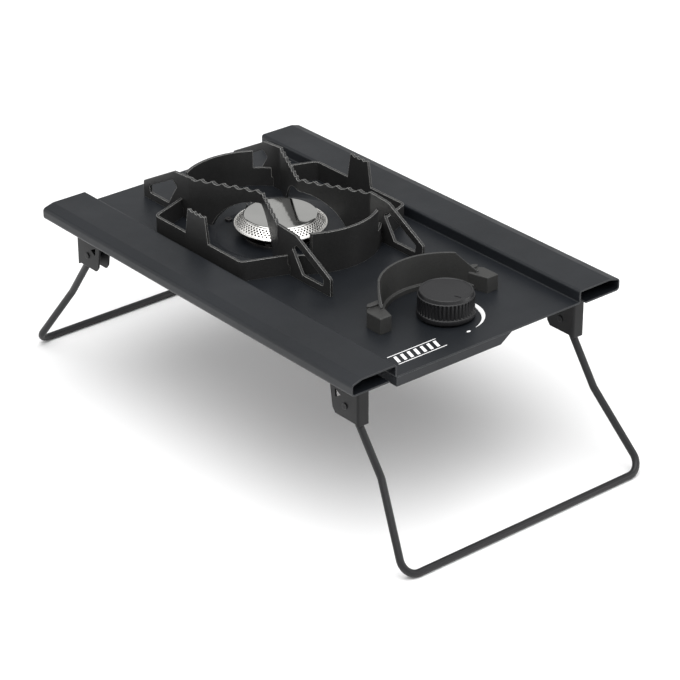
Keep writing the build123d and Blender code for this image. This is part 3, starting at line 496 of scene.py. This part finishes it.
def output_scale():
    """Tapering arc beside the knob that shows the flame size."""
    outside, inside = [], []
    for i in range(SCALE_STEPS + 1):
        share = i / SCALE_STEPS
        angle = math.radians(1.0 - 84.0 * share)
        width = (0.25 + 3.5 * min(1.0, 1.45 * (1.0 - share)) ** 0.9) * MM
        for line, radius in ((outside, SCALE_RADIUS), (inside, SCALE_RADIUS - width)):
            line.append((KNOB_X + radius * math.cos(angle), KNOB_Y + radius * math.sin(angle)))
    bm = bmesh.new()
    rings = [[bm.verts.new((x, y, z)) for x, y in line] for line, z in
             ((outside, PRINT_LOW), (outside, PRINT_HIGH), (inside, PRINT_HIGH), (inside, PRINT_LOW))]
    for k in range(4):
        first, second = rings[k], rings[(k + 1) % 4]
        for i in range(SCALE_STEPS):
            bm.faces.new((first[i], first[i + 1], second[i + 1], second[i]))
    for end in (0, SCALE_STEPS):
        bm.faces.new([ring[end] for ring in rings])
    bmesh.ops.recalc_face_normals(bm, faces=bm.faces)
    return bm


def off_dot():
    """Oval dot at the closed end of the scale."""
    outline = [(DOT_X + DOT_WIDE * math.cos(a), DOT_Y + DOT_HIGH * math.sin(a))
               for a in (2 * math.pi * i / DOT_STEPS for i in range(DOT_STEPS))]
    return slab(outline, PRINT_LOW, PRINT_HIGH)


def deck_mark():
    """Plain abstract mark: two rules with a row of slanted bars between them."""
    shapes = []
    for y in RULES_Y:
        top = y + RULE_WIDTH
        shapes.append([(MARK_LEFT, y), (MARK_RIGHT, y), (MARK_RIGHT, top), (MARK_LEFT, top)])
    for i in range(BARS):
        x = BAR_START + i * BAR_PITCH
        head_x = x + BAR_SLANT
        shapes.append([(x, BAR_FOOT_Y), (x + BAR_WIDTH, BAR_FOOT_Y), (head_x + BAR_WIDTH, BAR_HEAD_Y),
                       (head_x, BAR_HEAD_Y)])
    bm = slab(shapes[0], PRINT_LOW, PRINT_HIGH)
    for shape in shapes[1:]:
        join(bm, slab(shape, PRINT_LOW, PRINT_HIGH))
    return bm


def dress_print():
    """The three white prints on the deck, each a thin layer just above the coat."""
    for name, make in (("output_scale", output_scale), ("off_dot", off_dot), ("deck_mark", deck_mark)):
        new_piece(name, make(), PRINT_WHITE, "stove_body", smooth=False)


dress_cad_nodes()
dress_burner()
dress_knob()
dress_print()


# ---------------------------------------------------------------- camera, lights and floor
CAMERA_PLACE = Vector((-1.1045, -1.3542, 0.9744))
CAMERA_AIM = Vector((0.564, 0.682, -0.465))
CAMERA_ROLL = math.radians(-0.13)
CAMERA_LENS = 140.8
CAMERA_SENSOR = 36.0
WORLD_STRENGTH = 0.55
FLOOR_HALF = 8.0


def make_camera():
    """The camera of the main view."""
    data = bpy.data.cameras.new("camera")
    data.lens = CAMERA_LENS
    data.sensor_width = CAMERA_SENSOR
    data.clip_start = 0.05
    camera = bpy.data.objects.new("camera", data)
    turn = CAMERA_AIM.to_track_quat("-Z", "Y").to_matrix().to_4x4()
    camera.matrix_world = Matrix.Translation(CAMERA_PLACE) @ turn @ Matrix.Rotation(CAMERA_ROLL, 4, "Z")
    bpy.context.scene.collection.objects.link(camera)
    bpy.context.scene.camera = camera


def area_light(name, place, target, size, power):
    """White rectangular light aimed at a target."""
    data = bpy.data.lights.new(name, "AREA")
    data.shape = "RECTANGLE"
    data.size, data.size_y = size
    data.energy = power
    light = bpy.data.objects.new(name, data)
    aim = Vector(target) - Vector(place)
    light.matrix_world = Matrix.Translation(place) @ aim.to_track_quat("-Z", "Y").to_matrix().to_4x4()
    bpy.context.scene.collection.objects.link(light)


def make_studio():
    """A large soft light overhead, weaker ones at the sides, and a white floor that runs out of sight."""
    area_light("soft_top", (-0.30, -0.40, 1.75), (0.0, 0.0, 0.1), (2.5, 2.5), 54.0)
    area_light("soft_rear", (-1.5, 1.6, 0.9), (-0.1, 0.0, 0.1), (1.5, 1.0), 5.0)
    area_light("soft_right", (1.6, -1.5, 0.6), (0.0, 0.0, 0.1), (1.0, 1.0), 9.0)
    world = bpy.data.worlds.new("studio")
    world.use_nodes = True
    background = world.node_tree.nodes["Background"]
    background.inputs["Color"].default_value = (1.0, 1.0, 1.0, 1.0)
    background.inputs["Strength"].default_value = WORLD_STRENGTH
    bpy.context.scene.world = world
    bpy.context.scene.view_settings.view_transform = "Standard"
    bm = bmesh.new()
    bmesh.ops.create_grid(bm, x_segments=1, y_segments=1, size=FLOOR_HALF)
    mesh = bpy.data.meshes.new("floor")
    bm.to_mesh(mesh)
    bm.free()
    s = Shader("floor_paper")
    s.feed(s.ramp(s.noise(3.0), [(0.3, (0.90, 0.90, 0.90)), (0.7, (0.92, 0.92, 0.92))]), "Base Color")
    s.set(Roughness=0.9)
    mesh.materials.append(s.material)
    floor = bpy.data.objects.new("floor", mesh)
    bpy.context.scene.collection.objects.link(floor)


make_camera()
make_studio()
